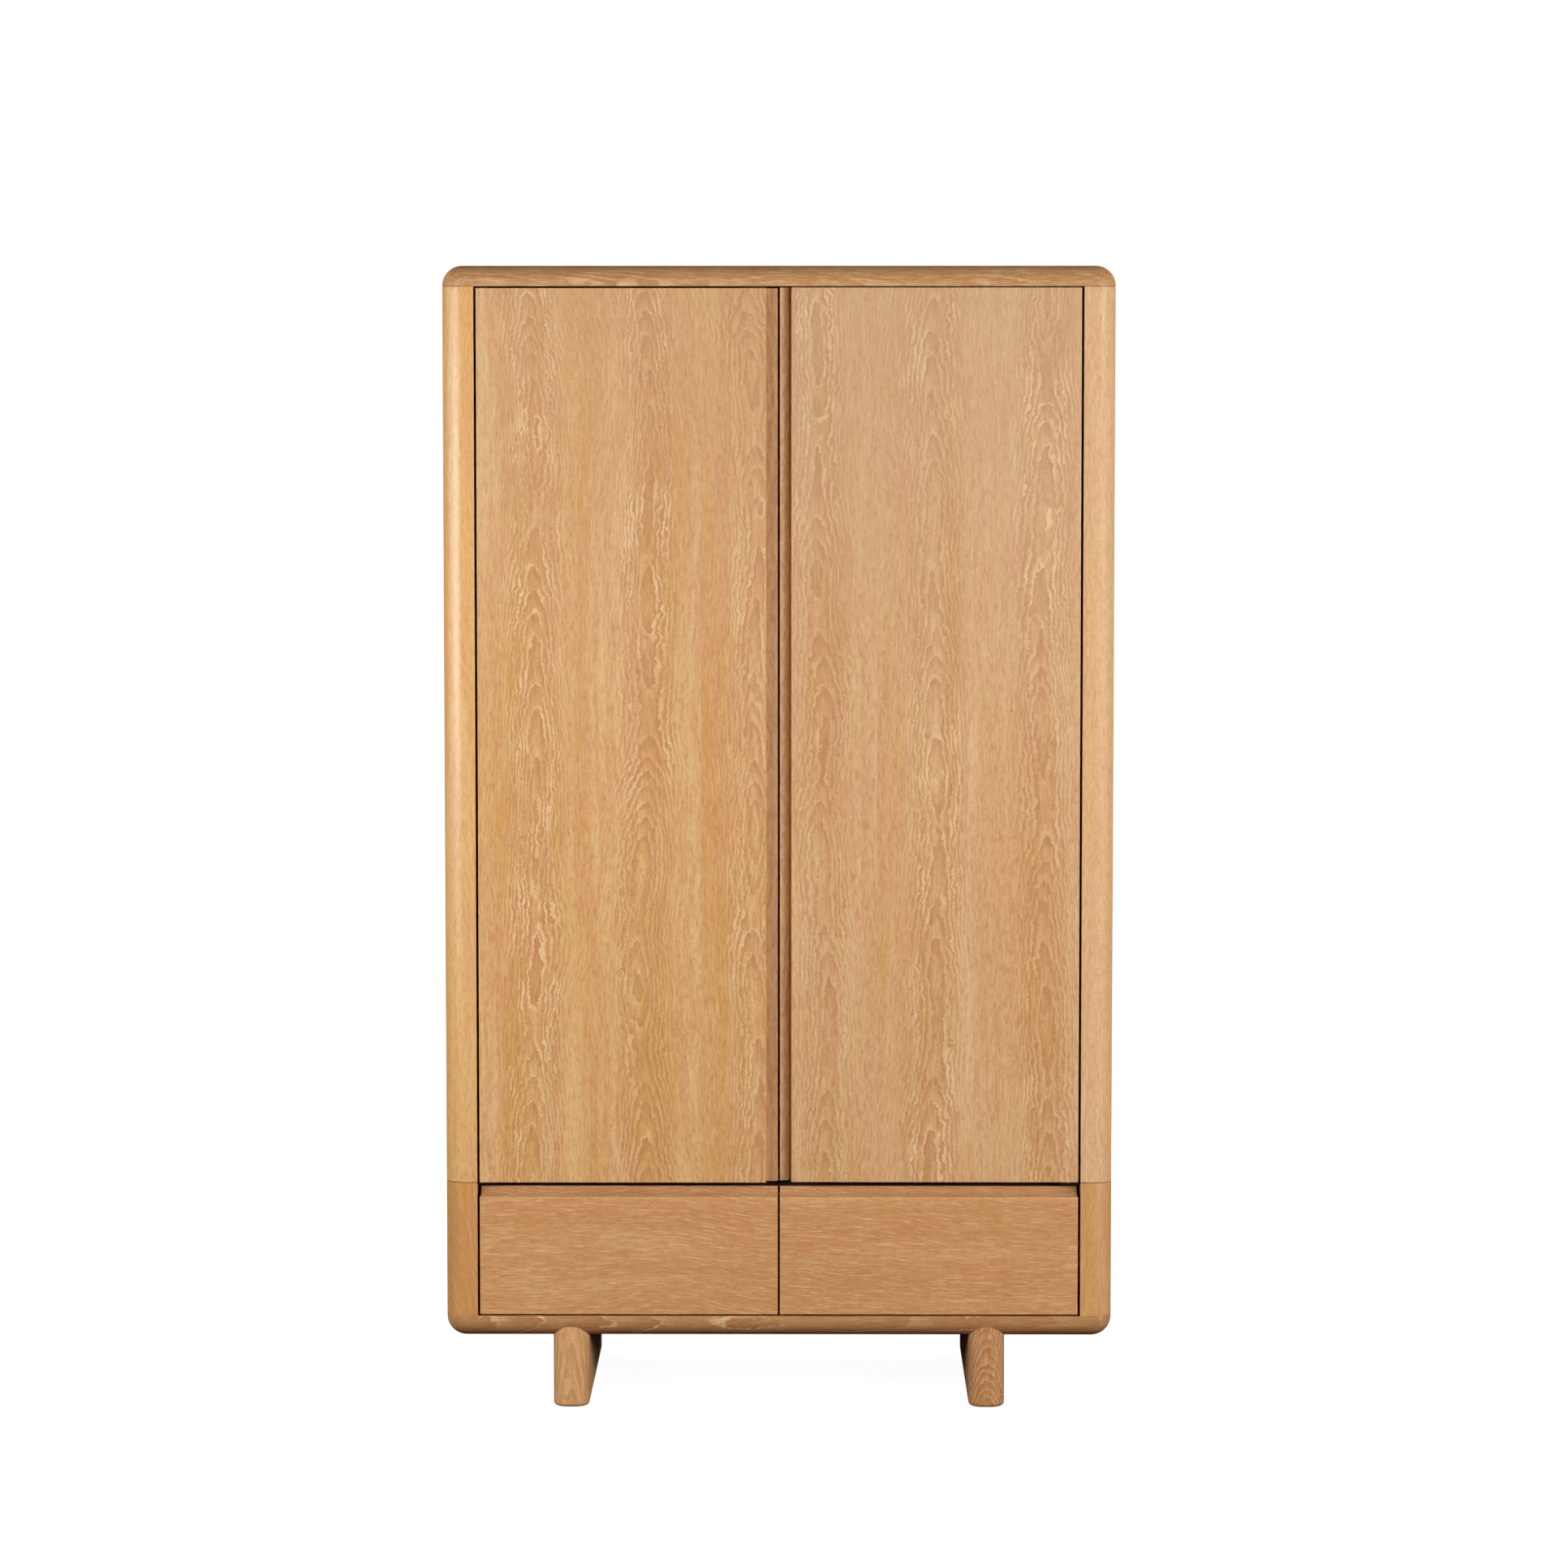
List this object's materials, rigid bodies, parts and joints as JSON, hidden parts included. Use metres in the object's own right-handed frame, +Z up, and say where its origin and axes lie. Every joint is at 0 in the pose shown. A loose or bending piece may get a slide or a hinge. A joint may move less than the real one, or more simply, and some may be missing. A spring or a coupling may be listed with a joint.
{
  "type": "armoire",
  "caption": "Free-standing armoire with rounded corners: hinged doors over a hanging space and hat shelf, drawers below, finger recesses for handles, plank legs.",
  "frame": {"origin": "on the floor, under the middle of the body", "axes": "+X to the armoire's right as seen from its front, +Y to its back, +Z up"},
  "size_m": [1.11, 0.58, 1.9],
  "materials": {
    "oak_veneer": "limed oak veneer, matt oil",
    "oak_solid": "limed solid oak, matt oil",
    "oak_inner": "plain oak, matt",
    "steel": "zinc plated",
    "brass": "turned",
    "plastic": "moulded"
  },
  "bodies": {
    "carcass": {"top_panel": "oak_solid", "base_panel": "oak_solid", "left_upper_post": "oak_solid", "right_upper_post": "oak_solid", "left_upper_side": "oak_veneer", "right_upper_side": "oak_veneer", "left_lower_post": "oak_solid", "right_lower_post": "oak_solid", "left_lower_side": "oak_veneer", "right_lower_side": "oak_veneer", "cabinet_floor": "oak_inner", "drawer_bay_top": "oak_inner", "drawer_partition": "oak_inner", "upper_back": "oak_inner", "lower_back": "oak_inner", "anchor_rail": "oak_inner", "hat_shelf": "oak_inner", "shelf_pins": "steel", "hanging_rail": "steel", "rail_sockets": "steel", "left_leg": "oak_solid", "right_leg": "oak_solid", "floor_glides": "plastic", "leg_bolts": "steel", "carcass_dowels": "oak_solid", "cabinet_connectors": "steel", "back_screws": "steel", "runner_packers": "oak_inner", "runner_cabinet_members": "steel", "upper_pivot_plates": "steel", "lower_pivot_plates": "steel", "door_catches": "plastic"},
    "left_door": {"left_door_panel": "oak_veneer", "left_door_lip": "oak_solid", "left_door_bushes": "brass", "left_door_strike": "steel"},
    "right_door": {"right_door_panel": "oak_veneer", "right_door_lip": "oak_solid", "right_door_bushes": "brass", "right_door_strike": "steel"},
    "left_drawer": {"left_drawer_face": "oak_veneer", "left_drawer_front": "oak_solid", "left_drawer_outer_side": "oak_inner", "left_drawer_inner_side": "oak_inner", "left_drawer_back": "oak_inner", "left_drawer_bottom": "oak_inner", "left_drawer_screws": "steel", "left_drawer_runners": "steel"},
    "right_drawer": {"right_drawer_face": "oak_veneer", "right_drawer_front": "oak_solid", "right_drawer_outer_side": "oak_inner", "right_drawer_inner_side": "oak_inner", "right_drawer_back": "oak_inner", "right_drawer_bottom": "oak_inner", "right_drawer_screws": "steel", "right_drawer_runners": "steel"},
    "left_middles": {"left_runner_middles": "steel"},
    "right_middles": {"right_runner_middles": "steel"}
  },
  "joints": [
    {"name": "left_door_hinge", "type": "hinge", "parent": "carcass", "child": "left_door", "pos_m": [-0.482, -0.28, 1.12], "axis": [0, 0, -1], "range_deg": [0, 105]},
    {"name": "right_door_hinge", "type": "hinge", "parent": "carcass", "child": "right_door", "pos_m": [0.482, -0.28, 1.12], "axis": [0, 0, 1], "range_deg": [0, 105]},
    {"name": "left_drawer_slide", "type": "slide", "parent": "carcass", "child": "left_drawer", "axis": [0, -1, 0], "range_m": [0, 0.42]},
    {"name": "right_drawer_slide", "type": "slide", "parent": "carcass", "child": "right_drawer", "axis": [0, -1, 0], "range_m": [0, 0.42]},
    {"name": "left_runner_slide", "type": "slide", "parent": "carcass", "child": "left_middles", "axis": [0, -1, 0], "range_m": [0, 0.21]},
    {"name": "right_runner_slide", "type": "slide", "parent": "carcass", "child": "right_middles", "axis": [0, -1, 0], "range_m": [0, 0.21]}
  ],
  "couplings": [
    {"joint": "left_runner_slide", "follows": "left_drawer_slide", "ratio": 0.5},
    {"joint": "right_runner_slide", "follows": "right_drawer_slide", "ratio": 0.5}
  ]
}
